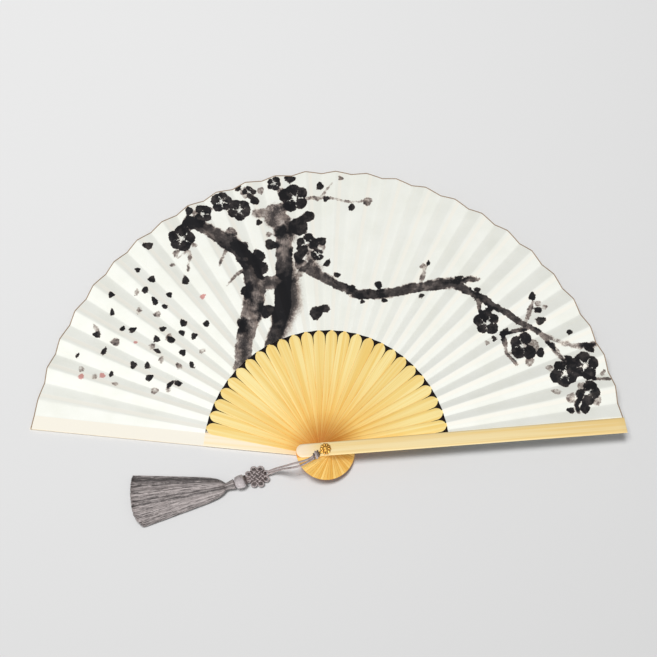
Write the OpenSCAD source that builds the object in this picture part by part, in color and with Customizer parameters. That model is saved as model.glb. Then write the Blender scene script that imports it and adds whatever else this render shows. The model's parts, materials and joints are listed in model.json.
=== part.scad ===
// Folding hand fan: a pleated paper leaf on flat bamboo ribs between two
// guards, all turning on one pin, with a tassel pendant on the pin's hanger.
// The fan lies open and flat. The origin is on the pin's axis, at the surface
// that the fan lies on. Millimetres, +Z up, angles counterclockwise from +X.

/* [Fan] */
// Length of a guard from the pin to its tip
guard_reach = 300; // [270:1:330]
// Opening angle between the two guards
opening = 169.7; // [150:0.1:172]
// Direction of the front guard, on top of the stack
front_dir = 4.7; // [2:0.1:8]
// Number of ribs between the guards
rib_count = 26; // [22:1:28]

/* [Guards] */
// Thickness of a guard at the pin
guard_t = 2.8; // [2.4:0.1:3.4]
// Thickness of a guard beside the leaf
guard_thin_t = 1.8; // [1.4:0.1:2.2]
// Width of a guard at the pin
guard_w_head = 13.2; // [11:0.1:15]
// Width of a guard at its tip
guard_w_tip = 15.4; // [13:0.1:17]
// Length of a guard behind the pin
guard_tail = 29; // [26:0.5:32]

/* [Ribs] */
// Thickness of a rib's wide inner part
rib_t = 0.5; // [0.4:0.05:0.6]
// Distance between two ribs in the stack
rib_step = 0.65; // [0.6:0.05:0.8]
// Width of a rib's wide inner part
rib_w = 11.8; // [10:0.1:12]
// Reach of the wide inner part from the pin
rib_reach = 121.5; // [112:0.5:122]
// Length of a rib behind the pin
rib_tail = 29.5; // [26:0.5:32]
// Width of the slip that carries the leaf
slip_w = 3.4; // [2.4:0.1:4.4]
// Thickness of the slip
slip_t = 0.35; // [0.3:0.05:0.4]

/* [Leaf] */
// Radius of the leaf's inner edge
leaf_in = 123.5; // [123:0.5:130]
// Radius of the leaf's outer edge
leaf_out = 298; // [260:1:310]
// Thickness of the leaf
leaf_t = 0.22; // [0.15:0.01:0.3]
// Height of a pleat at the outer edge
pleat_h = 4.4; // [3:0.1:5]

/* [Pin] */
// Radius of the pin's shank
pin_r = 1.5; // [1.2:0.1:1.8]
// Radius of the pin's flat head under the back guard
pin_head_r = 4; // [3:0.1:5]
// Radius of the ornamental rosette on top
rosette_r = 5.7; // [5:0.1:6.4]

/* [Pendant] */
// Diameter of the cord
cord_d = 2.0; // [1.4:0.1:2.0]
// Length of the tassel's skirt
skirt_l = 89; // [80:1:100]
// Width of the skirt at its open end
skirt_w = 50; // [40:1:56]
// Height of the skirt where it lies
skirt_h = 11; // [8:0.5:14]

/* [Hidden] */
$fn = 64;
running = 0.05;      // radial clearance of a bore on the pin
skin = 0.06;         // gap between the leaf and what it is glued to
rib_names = [for (k = [1:rib_count]) str("rib_", k < 10 ? "0" : "", k)];

// Directions. Rib 1 is next to the back guard, at the bottom of the stack.
back_dir = front_dir + opening;
rib_pitch = opening * 0.0371;
first_gap = (opening - (rib_count - 1) * rib_pitch) * 0.44;
function rib_dir(k) = back_dir - first_gap - (k - 1) * rib_pitch;
ridge_ahead = 0.95;  // degrees from a rib to the ridge on its back-guard side
valley_after = 2.4;  // degrees from a rib to the valley on its other side

// Heights in the stack
stack_gap = 0.15;
function rib_z(k) = guard_t + stack_gap + (k - 1) * rib_step;
front_z = rib_z(rib_count) + rib_t + stack_gap;
top_z = front_z + guard_t;
front_thin_z = top_z - guard_thin_t;

// The slip leans under its own pleat, about the slip's centre line.
pleat_deg = ridge_ahead + valley_after;
pleat_run = leaf_out * pleat_deg * PI / 180;
slip_lean = atan(pleat_h / pleat_run);
slip_mid = rib_t / 2;
slip_start = rib_reach + 0.1;
neck_w = 2;          // width of the flat neck between the wide part and the slip
neck_start = rib_reach - 6;
neck_end = slip_start + 0.4;
slip_end = leaf_out - 1.5;
ridge_share = ridge_ahead / pleat_deg;

// Leaf heights: the leaf's underside clears the slip's upper face.
end_pleat = 0.75;    // the first and last pleats are lower, under the guards
function pleat_share(k) = k == 1 || k == rib_count ? end_pleat : 1;
function pleat_at(r, k) = pleat_h * r / leaf_out * pleat_share(k);
function leaf_rest_z(k) = rib_z(k) + slip_mid + (slip_t / 2) / cos(slip_lean) + skin;
function ridge_z(k, r) = leaf_rest_z(k) + pleat_at(r, k) * ridge_share;
function valley_z(k, r) = leaf_rest_z(k) - pleat_at(r, k) * (1 - ridge_share);

// The folds of the leaf from the back guard to the front guard, each with its
// direction and its underside's height at a radius. Both end strips lie flat
// on a guard, out to the guard's outer edge.
back_leaf_z = guard_thin_t + skin;
front_leaf_z = front_thin_z - skin - leaf_t;
edge_inset = 0.3;
function guard_half(r) = (guard_w_head + (guard_w_tip - guard_w_head) * r / guard_reach) / 2;
function edge_deg(r) = asin((guard_half(r) - edge_inset) / r);
function back_fold_deg(r) = 0.8 + 0.6 * (r - leaf_in) / (leaf_out - leaf_in);
front_fold_deg = 1.75;
function fold_dirs(r) = concat(
    [back_dir + edge_deg(r), back_dir - back_fold_deg(r)],
    [for (k = [1:rib_count]) each [rib_dir(k) + ridge_ahead, rib_dir(k) - valley_after]],
    [front_dir + front_fold_deg, front_dir - edge_deg(r)]);
function fold_zs(r) = concat(
    [back_leaf_z, back_leaf_z],
    [for (k = [1:rib_count]) each [ridge_z(k, r), valley_z(k, r)]],
    [front_leaf_z, front_leaf_z]);

function polar(r, dir, z) = [r * cos(dir), r * sin(dir), z];

// A pleated band between two radii as a closed thin shell. Every section
// across it has four corners: inner under, outer under, outer top, inner top.
module pleated_band(r_in, r_out, drop, thick) {
    low_in = fold_zs(r_in);
    low_out = fold_zs(r_out);
    dirs_in = fold_dirs(r_in);
    dirs_out = fold_dirs(r_out);
    count = len(low_in);
    points = [for (i = [0:count - 1]) each [
        polar(r_in, dirs_in[i], low_in[i] - drop),
        polar(r_out, dirs_out[i], low_out[i] - drop),
        polar(r_out, dirs_out[i], low_out[i] - drop + thick),
        polar(r_in, dirs_in[i], low_in[i] - drop + thick)]];
    sides = [for (i = [0:count - 2]) for (j = [0:3])
        each [
            [i * 4 + j, i * 4 + (j + 1) % 4, i * 4 + 4 + (j + 1) % 4],
            [i * 4 + j, i * 4 + 4 + (j + 1) % 4, i * 4 + 4 + j]]];
    last = (count - 1) * 4;
    ends = [[0, 3, 2, 1], [last, last + 1, last + 2, last + 3]];
    polyhedron(points, concat(sides, ends));
}

// A guard's outline along +X: a rounded tail, straight flared sides and a
// slanted tip.
module guard_outline(slant) {
    tail_r = guard_w_head / 2;
    translate([tail_r - guard_tail, 0])
        circle(r = tail_r);
    polygon([
        [tail_r - guard_tail, -tail_r],
        [0, -guard_w_head / 2],
        [guard_reach - slant, -guard_w_tip / 2],
        [guard_reach + slant, guard_w_tip / 2],
        [0, guard_w_head / 2],
        [tail_r - guard_tail, tail_r]]);
}

// A guard lying on z = 0 with its leaf side at the top, relieved beside the leaf.
relief_start = rib_reach + 0.2;
module guard_blank(slant) {
    difference() {
        linear_extrude(guard_t)
            guard_outline(slant);
        translate([relief_start, -guard_w_tip, guard_thin_t])
            cube([guard_reach, guard_w_tip * 2, guard_t]);
        translate([0, 0, -1])
            cylinder(r = pin_r + running, h = guard_t + 2);
    }
}

// The two guards' tips are cut along the leaf's outer edge.
back_slant = 1.4;
front_slant = -0.6;
pin_head_t = 0.9;
module guard_back() {
    color("#f6dfae")
        rotate([0, 0, back_dir])
            difference() {
                guard_blank(back_slant);
                translate([0, 0, -1])
                    cylinder(r = pin_head_r + 0.2, h = pin_head_t + 1.1);
            }
}

module guard_front() {
    color("#efd193")
        rotate([0, 0, front_dir])
            translate([0, 0, top_z])
                mirror([0, 0, 1])
                    guard_blank(front_slant);
}

// A rib's flat inner part, with a round tail and a round tip.
module tongue_outline() {
    half = rib_w / 2;
    // The tail follows the circle of the head.
    intersection() {
        circle(r = rib_tail, $fn = 128);
        translate([-rib_tail - 1, -half])
            square([rib_tail + 1, rib_w]);
    }
    translate([-1, -half])
        square([rib_reach - half + 1, rib_w]);
    translate([rib_reach - half, 0])
        circle(r = half);
}

module rib(k) {
    color("#f0cd85")
        rotate([0, 0, rib_dir(k)])
            translate([0, 0, rib_z(k)])
                difference() {
                    union() {
                        linear_extrude(rib_t)
                            tongue_outline();
                        translate([neck_start, -neck_w / 2, slip_mid - slip_t / 2])
                            cube([neck_end - neck_start, neck_w, slip_t]);
                        translate([slip_start, 0, slip_mid])
                            rotate([slip_lean * pleat_share(k), 0, 0])
                                translate([0, -slip_w / 2, -slip_t / 2])
                                    cube([slip_end - slip_start, slip_w, slip_t]);
                    }
                    translate([0, 0, -1])
                        cylinder(r = pin_r + running, h = rib_t + 2);
                }
}

module leaf() {
    color("#f2f3ec")
        pleated_band(leaf_in, leaf_out, 0, leaf_t);
}

// A narrow paper strip along the leaf's outer edge.
rim_w = 1.2;
module rim_binding() {
    color("#a48f76")
        pleated_band(leaf_out + 0.05, leaf_out + 0.05 + rim_w, 0.05, leaf_t + 0.1);
}

// Dark paper behind the rib tips, seen in the gaps between them: one flat
// wedge for each gap, right under the rib on its back-guard side.
neck_in = 105.5;
neck_out = rib_reach - 0.1;
neck_t = 0.1;
module neck_band() {
    color("#241a18")
        for (k = [1:rib_count])
            translate([0, 0, rib_z(k) - (stack_gap + neck_t) / 2])
                linear_extrude(neck_t)
                    polygon([
                        for (dir = [rib_dir(k), (rib_dir(k) + rib_dir(k + 1)) / 2, rib_dir(k + 1)])
                            [neck_out * cos(dir), neck_out * sin(dir)],
                        for (dir = [rib_dir(k + 1), rib_dir(k)])
                            [neck_in * cos(dir), neck_in * sin(dir)]]);
}

// The pin: a flat head let into the back guard and a shank up to the stud.
hanger_t = 0.7;
hanger_z = top_z + 0.1;
rosette_z = hanger_z + hanger_t + 0.1;
rosette_t = 1.6;
pin_top = rosette_z + rosette_t;
module pivot_pin() {
    color("#b98a2e") {
        cylinder(r = pin_head_r, h = pin_head_t);
        cylinder(r = pin_r, h = pin_top);
    }
}

// The rosette: a domed washer with petals around it, fixed on the shank.
petals = 10;
module rosette() {
    petal_r = rosette_r * 0.27;
    color("#c89a3c")
        difference() {
            union() {
                translate([0, 0, rosette_z])
                    cylinder(r = rosette_r - petal_r, h = rosette_t);
                for (i = [0:petals - 1])
                    rotate([0, 0, i * 360 / petals])
                        translate([rosette_r - petal_r, 0, rosette_z])
                            cylinder(r = petal_r, h = rosette_t * 0.75);
            }
            cylinder(r = pin_r, h = pin_top + 1);
        }
}

// The stud: a small dome riveted over the shank's end.
stud_r = 2.6;
module pin_stud() {
    sphere_r = 3.4;
    color("#d8ae4c")
        translate([0, 0, pin_top])
            intersection() {
                cylinder(r = stud_r, h = 3);
                translate([0, 0, -sqrt(sphere_r * sphere_r - stud_r * stud_r)])
                    sphere(r = sphere_r);
            }
}

// The hanger: a flat brass link with a hole for the pin and an eye for the cord.
hanger_r = 4.6;
link_w = 3.2;
eye_dir = 214;
eye_at = 9.5;
eye_r = 1.5;
eye_rim = 1.3;
eye = [eye_at * cos(eye_dir), eye_at * sin(eye_dir)];
module hanger() {
    color("#b08a3a")
        translate([0, 0, hanger_z])
            difference() {
                union() {
                    cylinder(r = hanger_r, h = hanger_t);
                    rotate([0, 0, eye_dir])
                        translate([0, -link_w / 2, 0])
                            cube([eye_at, link_w, hanger_t]);
                    translate(eye)
                        cylinder(r = eye_r + eye_rim, h = hanger_t);
                }
                translate([0, 0, -1])
                    cylinder(r = pin_r + running, h = hanger_t + 2);
                translate([eye[0], eye[1], -1])
                    cylinder(r = eye_r, h = hanger_t + 2);
            }
}

// A ring of points around a route point, square to the route's direction.
function unit(v) = v / norm(v);
function ring(p, along, radius, sides) =
    let (side = unit(cross(along, [0, 0, 1])), up = cross(side, along))
    [for (s = [0:sides - 1])
        p + radius * (cos(s * 360 / sides) * side + sin(s * 360 / sides) * up)];
function heading(route, i) =
    unit(route[min(i + 1, len(route) - 1)] - route[max(i - 1, 0)]);

// A tube swept along a route as one closed polyhedron.
module tube(route, radius, sides) {
    last = len(route) - 1;
    points = [for (i = [0:last]) each ring(route[i], heading(route, i), radius, sides)];
    walls = [for (i = [0:last - 1]) for (s = [0:sides - 1])
        let (t = (s + 1) % sides)
        each [
            [i * sides + s, (i + 1) * sides + s, (i + 1) * sides + t],
            [i * sides + s, (i + 1) * sides + t, i * sides + t]]];
    caps = [
        [for (s = [0:sides - 1]) s],
        [for (s = [sides - 1:-1:0]) last * sides + s]];
    polyhedron(points, concat(walls, caps));
}

// The two strands run from the hitch over the head's edge, then down to the
// knot, which lies on the surface.
upper_route = [
    [-11.5, -6.8, 24.3], [-14, -8.7, 24], [-17, -10.4, 23.95], [-20.5, -11.7, 23.95],
    [-24, -12.8, 23.95], [-27.5, -13.7, 23.95], [-30.5, -14.5, 23.9], [-33.5, -15.2, 23.3],
    [-36.5, -15.9, 21.6], [-39.5, -16.5, 18.9], [-42.5, -17, 15.7], [-45.5, -17.4, 12.3],
    [-48.5, -17.9, 9.3], [-51.5, -18.6, 6.9], [-54.5, -19.6, 5.3], [-58, -21.1, 4.6]];
lower_route = [
    [-10.5, -8.7, 24.3], [-13, -10.6, 24], [-15.8, -12.2, 23.95], [-19, -14, 23.95],
    [-22.5, -15.8, 23.95], [-26, -17.2, 23.95], [-29.3, -18.1, 23.9], [-32.4, -18.6, 23.3],
    [-35.5, -18.9, 21.6], [-38.6, -19.1, 18.9], [-41.7, -19.3, 15.7], [-44.8, -19.7, 12.3],
    [-47.9, -20.2, 9.3], [-51, -20.9, 6.9], [-54, -22, 5.3], [-57.5, -23.3, 4.6]];

module cord_strand_upper() {
    color("#8a7f80")
        tube(upper_route, cord_d / 2, 8);
}

module cord_strand_lower() {
    color("#8a7f80")
        tube(lower_route, cord_d / 2, 8);
}

// The hitch: the cord's turns on the outer side of the eye.
hitch_z = hanger_z + hanger_t + 0.05;
hitch_out = 2.9;
hitch_r = 1.25;
hitch_l = 5;
module cord_hitch() {
    color("#83797b")
        rotate([0, 0, eye_dir])
            translate([eye_at + hitch_out, 0, hitch_z + hitch_r])
                rotate([90, 0, 0])
                    cylinder(r = hitch_r, h = hitch_l, center = true);
}

// Frame of the parts that lie on the surface, along the tassel's axis.
knot_at = [-67.7, -25.4];
tassel_dir = 198.3;
knot_r = 11.6;
knot_h = 5.2;
knot_lift = 0.3;
knot_inset = 0.6;    // the cord's loops stand out of the disc
module along_tassel(dist) {
    translate([knot_at[0], knot_at[1], 0])
        rotate([0, 0, tassel_dir])
            translate([dist, 0, 0])
                children();
}

// The ornamental knot: a flat cushion of cord.
module knot() {
    color("#857a7b")
        along_tassel(0)
            translate([0, 0, knot_lift])
                cylinder(r = knot_r - knot_inset, h = knot_h);
}

// The bead, the collar and the skirt of the tassel.
piece_gap = 0.3;
bead_l = 12.4;
bead_r = 6.4;
bead_from = knot_r + piece_gap;
module bead() {
    color("#9d9293")
        along_tassel(bead_from + bead_l / 2)
            translate([0, 0, bead_r])
                rotate([0, 90, 0])
                    scale([1, 1, bead_l / (2 * bead_r)])
                        sphere(r = bead_r, $fn = 40);
}

collar_l = 9.5;
collar_r = 3.8;
collar_lift = 0.6;
collar_from = bead_from + bead_l + piece_gap;
module collar() {
    color("#6f6667")
        along_tassel(collar_from)
            translate([0, 0, collar_r + collar_lift])
                rotate([0, 90, 0])
                    cylinder(r = collar_r, h = collar_l);
}

// The skirt turns a little from the collar's line, and spreads from its tied
// top over a shoulder to its open end.
skirt_from = collar_from + collar_l + 0.8;
skirt_turn = -8.7;
skirt_top_r = 3.9;
shoulder_at = 24;
shoulder_w = 26;
skirt_end_h = skirt_h * 0.8;
module tassel_skirt() {
    slab = 2;
    color("#7d7374")
        along_tassel(skirt_from)
            rotate([0, 0, skirt_turn])
                hull() {
                    translate([0, 0, skirt_top_r])
                        rotate([0, 90, 0])
                            cylinder(r = skirt_top_r, h = slab, $fn = 24);
                    translate([shoulder_at, 0, skirt_h / 2])
                        cube([slab, shoulder_w, skirt_h], center = true);
                    translate([skirt_l - slab / 2, 0, skirt_end_h / 2])
                        cube([slab, skirt_w, skirt_end_h], center = true);
                }
}

guard_back();
guard_front();
leaf();
rim_binding();
neck_band();
for (k = [1:rib_count])
    rib(k);
pivot_pin();
rosette();
pin_stud();
hanger();
cord_hitch();
cord_strand_upper();
cord_strand_lower();
knot();
bead();
collar();
tassel_skirt();
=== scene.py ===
"""A folding hand fan with a tassel pendant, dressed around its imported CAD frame.

Lengths in this script are millimetres unless a name ends in _m; add_mesh() turns
them into metres. Directions are degrees counterclockwise from +X, as in the frame.
"""
import json
import math

import bpy
import numpy as np
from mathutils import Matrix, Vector


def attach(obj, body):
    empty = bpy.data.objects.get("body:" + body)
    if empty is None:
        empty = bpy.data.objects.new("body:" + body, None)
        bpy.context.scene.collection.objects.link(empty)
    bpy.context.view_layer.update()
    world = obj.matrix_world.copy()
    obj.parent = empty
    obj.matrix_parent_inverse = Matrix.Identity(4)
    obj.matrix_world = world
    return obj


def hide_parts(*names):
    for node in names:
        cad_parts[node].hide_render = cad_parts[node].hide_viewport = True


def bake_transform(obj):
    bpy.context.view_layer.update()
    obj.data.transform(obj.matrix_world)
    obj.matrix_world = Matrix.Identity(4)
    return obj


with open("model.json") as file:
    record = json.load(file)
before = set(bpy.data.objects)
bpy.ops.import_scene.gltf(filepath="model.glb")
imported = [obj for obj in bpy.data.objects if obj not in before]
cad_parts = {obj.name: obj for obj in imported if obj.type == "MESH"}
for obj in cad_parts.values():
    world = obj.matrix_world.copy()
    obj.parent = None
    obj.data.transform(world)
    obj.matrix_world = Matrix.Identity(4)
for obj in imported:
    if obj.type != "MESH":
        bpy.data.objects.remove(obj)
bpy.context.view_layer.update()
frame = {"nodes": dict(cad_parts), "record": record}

MM = 0.001
UP = np.array([0.0, 0.0, 1.0])
WHITE = (1.0, 1.0, 1.0, 1.0)
rng = np.random.default_rng(11)

# ---------------------------------------------------------------- fan sizes

GUARD_REACH = 300.0
OPENING = 169.7
FRONT_DIR = 4.7
BACK_DIR = FRONT_DIR + OPENING
RIB_COUNT = 26
RIB_PITCH = OPENING * 0.0371
FIRST_GAP = (OPENING - (RIB_COUNT - 1) * RIB_PITCH) * 0.44

GUARD_T = 2.8
GUARD_THIN_T = 1.8
GUARD_W_HEAD = 13.2
GUARD_W_TIP = 15.4
GUARD_TAIL = 29.0
RIB_T = 0.5
RIB_STEP = 0.65
RIB_W = 11.8
RIB_REACH = 121.5
RIB_TAIL = 29.5
SLIP_W = 3.4
SLIP_T = 0.35
STACK_GAP = 0.15

LEAF_IN = 123.5
LEAF_OUT = 298.0
LEAF_T = 0.22
PLEAT_H = 4.4
END_PLEAT = 0.75
RIDGE_AHEAD = 0.95
VALLEY_AFTER = 2.4
PLEAT_LEAN = math.atan(PLEAT_H / (LEAF_OUT * math.radians(RIDGE_AHEAD + VALLEY_AFTER)))
SKIN = 0.06

PIN_R = 1.5
PIN_CLEAR = 0.05
ROSETTE_R = 5.7

SHARES = {c["joint"]: c["ratio"] for c in frame["record"]["behaviour"]["couplings"]}
RIBS = range(1, RIB_COUNT + 1)


def rib_name(k):
    return f"rib_{k:02d}"


def rib_dir(k):
    return BACK_DIR - FIRST_GAP - (k - 1) * RIB_PITCH


def rib_z(k):
    return GUARD_T + STACK_GAP + (k - 1) * RIB_STEP


def rib_share(k):
    """The part of the front guard's turn that rib k makes."""
    return SHARES[rib_name(k) + "_turn"]


def pleat_share(k):
    """The height of rib k's pleat as a part of a full one: the end pleats are lower."""
    return END_PLEAT if k in (1, RIB_COUNT) else 1.0


FRONT_Z = rib_z(RIB_COUNT) + RIB_T + STACK_GAP
TOP_Z = FRONT_Z + GUARD_T
HANGER_Z = TOP_Z + 0.1
HANGER_T = 0.7
ROSETTE_Z = HANGER_Z + HANGER_T + 0.1
ROSETTE_T = 1.6
EYE_DIR = 214.0
EYE_AT = 9.5

# ---------------------------------------------------------------- camera

def add_camera():
    """Above the fan and a little towards the viewer."""
    data = bpy.data.cameras.new("camera")
    data.lens = 53.75
    data.sensor_width = 36.0
    data.clip_start = 0.01
    data.clip_end = 20.0
    camera = bpy.data.objects.new("camera", data)
    camera.location = (0.005, -0.113, 0.994)
    camera.rotation_euler = [math.radians(x) for x in (13.63, 0.1, 0.16)]
    bpy.context.scene.collection.objects.link(camera)
    bpy.context.scene.camera = camera


add_camera()

# ---------------------------------------------------------------- mesh helpers

def add_mesh(name, part, material, sharp_deg=None):
    """A new object from (points in millimetres, faces). Edges over sharp_deg stay sharp."""
    points, faces = part
    mesh = bpy.data.meshes.new(name)
    mesh.from_pydata((np.asarray(points, float) * MM).tolist(), [], [list(map(int, f)) for f in faces])
    mesh.validate()
    mesh.shade_smooth()
    if sharp_deg is not None:
        mesh.set_sharp_from_angle(angle=math.radians(sharp_deg))
    mesh.materials.append(material)
    obj = bpy.data.objects.new(name, mesh)
    bpy.context.scene.collection.objects.link(obj)
    return obj


def add_piece(name, part, material, slot, body=None, node=None, sharp_deg=None):
    """A mesh with its material; its slot argument is not used. It may ride a body and replace a CAD node.
    """
    piece = add_mesh(name, part, material, sharp_deg)
    if body:
        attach(piece, body)
    if node:
        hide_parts(node)
    return piece


def store(obj, name, values):
    """Keeps one number or one vector for each vertex, for the material to read."""
    values = np.asarray(values, np.float32)
    kind, field = ("FLOAT", "value") if values.ndim == 1 else ("FLOAT_VECTOR", "vector")
    attribute = obj.data.attributes.new(name, kind, "POINT")
    attribute.data.foreach_set(field, values.ravel())


def polar(r, direction, z=0.0):
    a = np.radians(direction)
    return np.stack(np.broadcast_arrays(r * np.cos(a), r * np.sin(a), z), axis=-1)


def rotated(x, y, degrees):
    a = math.radians(degrees)
    return x * math.cos(a) - y * math.sin(a), x * math.sin(a) + y * math.cos(a)


def smooth_step(x):
    x = np.clip(x, 0.0, 1.0)
    return x * x * (3 - 2 * x)


def bell(x, middle, width):
    """A smooth hump of height 1 round the middle."""
    return np.exp(-(((x - middle) / width) ** 2))


def round_cap(v):
    """Height of a half circle over v, from -1 to 1."""
    return np.sqrt(np.maximum(1 - v * v, 0.0))


def around(count):
    """That many even angles round a full turn, in radians."""
    return np.arange(count) * 2 * math.pi / count


def oval(count, centre, a_half, b_half):
    """Points round an oval from its centre and its two half axes."""
    a = around(count)
    return centre + np.outer(np.cos(a), a_half) + np.outer(np.sin(a), b_half)


def grid_faces(rows, columns, start=0, closed=False):
    """Quads between rows of points; closed joins each row's last point to its first."""
    r = np.arange(rows - 1)[:, None] * columns
    c = np.arange(columns if closed else columns - 1)[None, :]
    n = (c + 1) % columns
    quads = np.stack([r + c, r + n, r + columns + n, r + columns + c], axis=-1)
    return (quads.reshape(-1, 4) + start).tolist()


def turned_over(faces):
    return [face[::-1] for face in faces]


def loft(rings, closed=False, flip=False):
    """(points, faces) of a skin over rings of points. Its ends are flat, or the last
    ring meets the first if closed."""
    rings = np.asarray(rings, float)
    count, sides = rings.shape[:2]
    faces = grid_faces(count, sides, closed=True)
    first = list(range(sides))
    last = [(count - 1) * sides + s for s in first]
    if closed:
        faces += [[last[s - 1], last[s], first[s], first[s - 1]] for s in first]
    else:
        faces += [first[::-1], last]
    return rings.reshape(-1, 3), turned_over(faces) if flip else faces


def smooth_route(points, steps):
    """A curve through the points, with that many steps between two of them."""
    p = np.asarray(points, float)
    p = np.vstack([2 * p[0] - p[1], p, 2 * p[-1] - p[-2]])
    t = np.linspace(0, 1, steps, endpoint=False)[:, None]
    out = []
    for a, b, c, d in zip(p, p[1:], p[2:], p[3:]):
        bend = (2 * a - 5 * b + 4 * c - d) * t**2 + (3 * b - a - 3 * c + d) * t**3
        out.append(b + 0.5 * ((c - a) * t + bend))
    return np.vstack(out + [p[-2:-1]])


def route_frames(route, closed=False):
    """Two unit vectors square to the route at each of its points."""
    if closed:
        along = np.roll(route, -1, axis=0) - np.roll(route, 1, axis=0)
    else:
        along = np.gradient(route, axis=0)
    along /= np.linalg.norm(along, axis=1, keepdims=True)
    side = np.cross(along, UP)
    side /= np.maximum(np.linalg.norm(side, axis=1, keepdims=True), 1e-9)
    return side, np.cross(side, along)


def tube(route, radius, sides, closed=False, ply=None):
    """A tube along a route. ply, as (turns per millimetre, depth), gives it the three
    twisted lobes of a plied cord."""
    route = np.asarray(route, float)
    side, up = route_frames(route, closed)
    a = around(sides)
    radius = np.broadcast_to(radius, len(route))[:, None] * np.ones(sides)
    if ply:
        turns_per_mm, depth = ply
        gone = np.concatenate([[0.0], np.cumsum(np.linalg.norm(np.diff(route, axis=0), axis=1))])
        twist = gone[:, None] * turns_per_mm * 2 * math.pi
        radius = radius * (1 - depth + depth * np.abs(np.cos(1.5 * (a - twist))))
    ring = side[:, None] * np.cos(a)[:, None] + up[:, None] * np.sin(a)[:, None]
    return loft(route[:, None] + ring * radius[..., None], closed)


def join(parts):
    """One list of points and one of faces from several."""
    points, faces, start = [], [], 0
    for p, f in parts:
        points.append(p)
        faces += [[i + start for i in face] for face in f]
        start += len(p)
    return np.vstack(points), faces


def lathe(at, radius, sides, axis_point, axis_dir, ripple=None):
    """A surface of revolution with flat ends, from distances along its axis and the
    radius at each. ripple scales the radius by distance and angle."""
    direction = np.asarray(axis_dir, float) / np.linalg.norm(axis_dir)
    side = np.cross(direction, UP)
    side /= np.linalg.norm(side)
    at, radius = np.asarray(at)[:, None], np.asarray(radius)[:, None] * np.ones(sides)
    if ripple is not None:
        radius = radius * ripple(at, around(sides))
    ring = oval(sides, np.zeros(3), side, np.cross(side, direction))
    return loft(axis_point + direction * at[..., None] + ring * radius[..., None])


# ---------------------------------------------------------------- material helpers

class Value:
    """A number, vector or colour inside a material. Arithmetic on it makes nodes."""

    def __init__(self, socket):
        self.socket = socket

    def do(self, operation, *others):
        return put("Math", dict(enumerate((self,) + others)), operation=operation)

    def part(self, axis):
        return put("SeparateXYZ", {0: self}, axis)

    def __add__(self, other):
        return self.do("ADD", other)

    def __sub__(self, other):
        return self.do("SUBTRACT", other)

    def __rsub__(self, other):
        return put("Math", {0: other, 1: self}, operation="SUBTRACT")

    def __mul__(self, other):
        return self.do("MULTIPLY", other)


def put(kind, inputs, output=0, tree=None, **settings):
    """The output of a new shader node. An input is a constant or a Value, which also
    says which material's tree the node goes in."""
    if tree is None:
        tree = next(v.socket.id_data for v in inputs.values() if isinstance(v, Value))
    node = tree.nodes.new("ShaderNode" + kind)
    for key, value in settings.items():
        setattr(node, key, value)
    for key, value in inputs.items():
        if isinstance(value, Value):
            tree.links.new(value.socket, node.inputs[key])
        else:
            node.inputs[key].default_value = value
    return Value(node.outputs[output])


def remap(value, low, high, to_low=0.0, to_high=1.0, shape="SMOOTHSTEP"):
    inputs = {"Value": value, "From Min": low, "From Max": high, "To Min": to_low, "To Max": to_high}
    return put("MapRange", inputs, interpolation_type=shape)


def mix(factor, a, b, blend="MIX"):
    return put("Mix", {0: factor, 6: a, 7: b}, 2, data_type="RGBA", blend_type=blend)


def tint(amount, colour, by):
    """The colour multiplied by another, as far as amount says."""
    return mix(amount, colour, by, "MULTIPLY")


def noise(vector, scale, detail, roughness):
    """Noise with one scale, or with one for each axis."""
    if isinstance(scale, tuple):
        vector, scale = stretch(vector, scale), 1.0
    inputs = {"Vector": vector, "Scale": scale, "Detail": detail, "Roughness": roughness}
    return put("TexNoise", inputs, "Fac")


def stretch(vector, scale, turn_z=0.0):
    return put("Mapping", {"Vector": vector, "Scale": scale, "Rotation": (0.0, 0.0, turn_z)})


def attribute(material, name, output="Fac"):
    return put("Attribute", {}, output, material.node_tree, attribute_name=name, attribute_type="GEOMETRY")


def object_place(material):
    return put("TexCoord", {}, "Object", material.node_tree)


def new_material(name, **sockets):
    """A material whose shader has these constants."""
    material = bpy.data.materials.new(name)
    material.use_nodes = True
    shader = material.node_tree.nodes["Principled BSDF"]
    for key, value in sockets.items():
        shader.inputs[key.replace("_", " ")].default_value = value
    return material


def finish_material(material, colour, height, strength, distance_m, roughness=None):
    """Joins a colour, a bump and, if given, a roughness to the material's shader."""
    normal = put("Bump", {"Height": height, "Strength": strength, "Distance": distance_m})
    tree = material.node_tree
    for key, value in (("Base Color", colour), ("Normal", normal), ("Roughness", roughness)):
        if value is not None:
            tree.links.new(value.socket, tree.nodes["Principled BSDF"].inputs[key])
    return material


def rgb(r, g, b):
    """A colour given as it looks on screen, 0 to 255, as the shader's linear values."""
    def linear(c):
        c /= 255.0
        return c / 12.92 if c <= 0.04045 else ((c + 0.055) / 1.055) ** 2.4
    return (linear(r), linear(g), linear(b), 1.0)


# ---------------------------------------------------------------- materials

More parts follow.
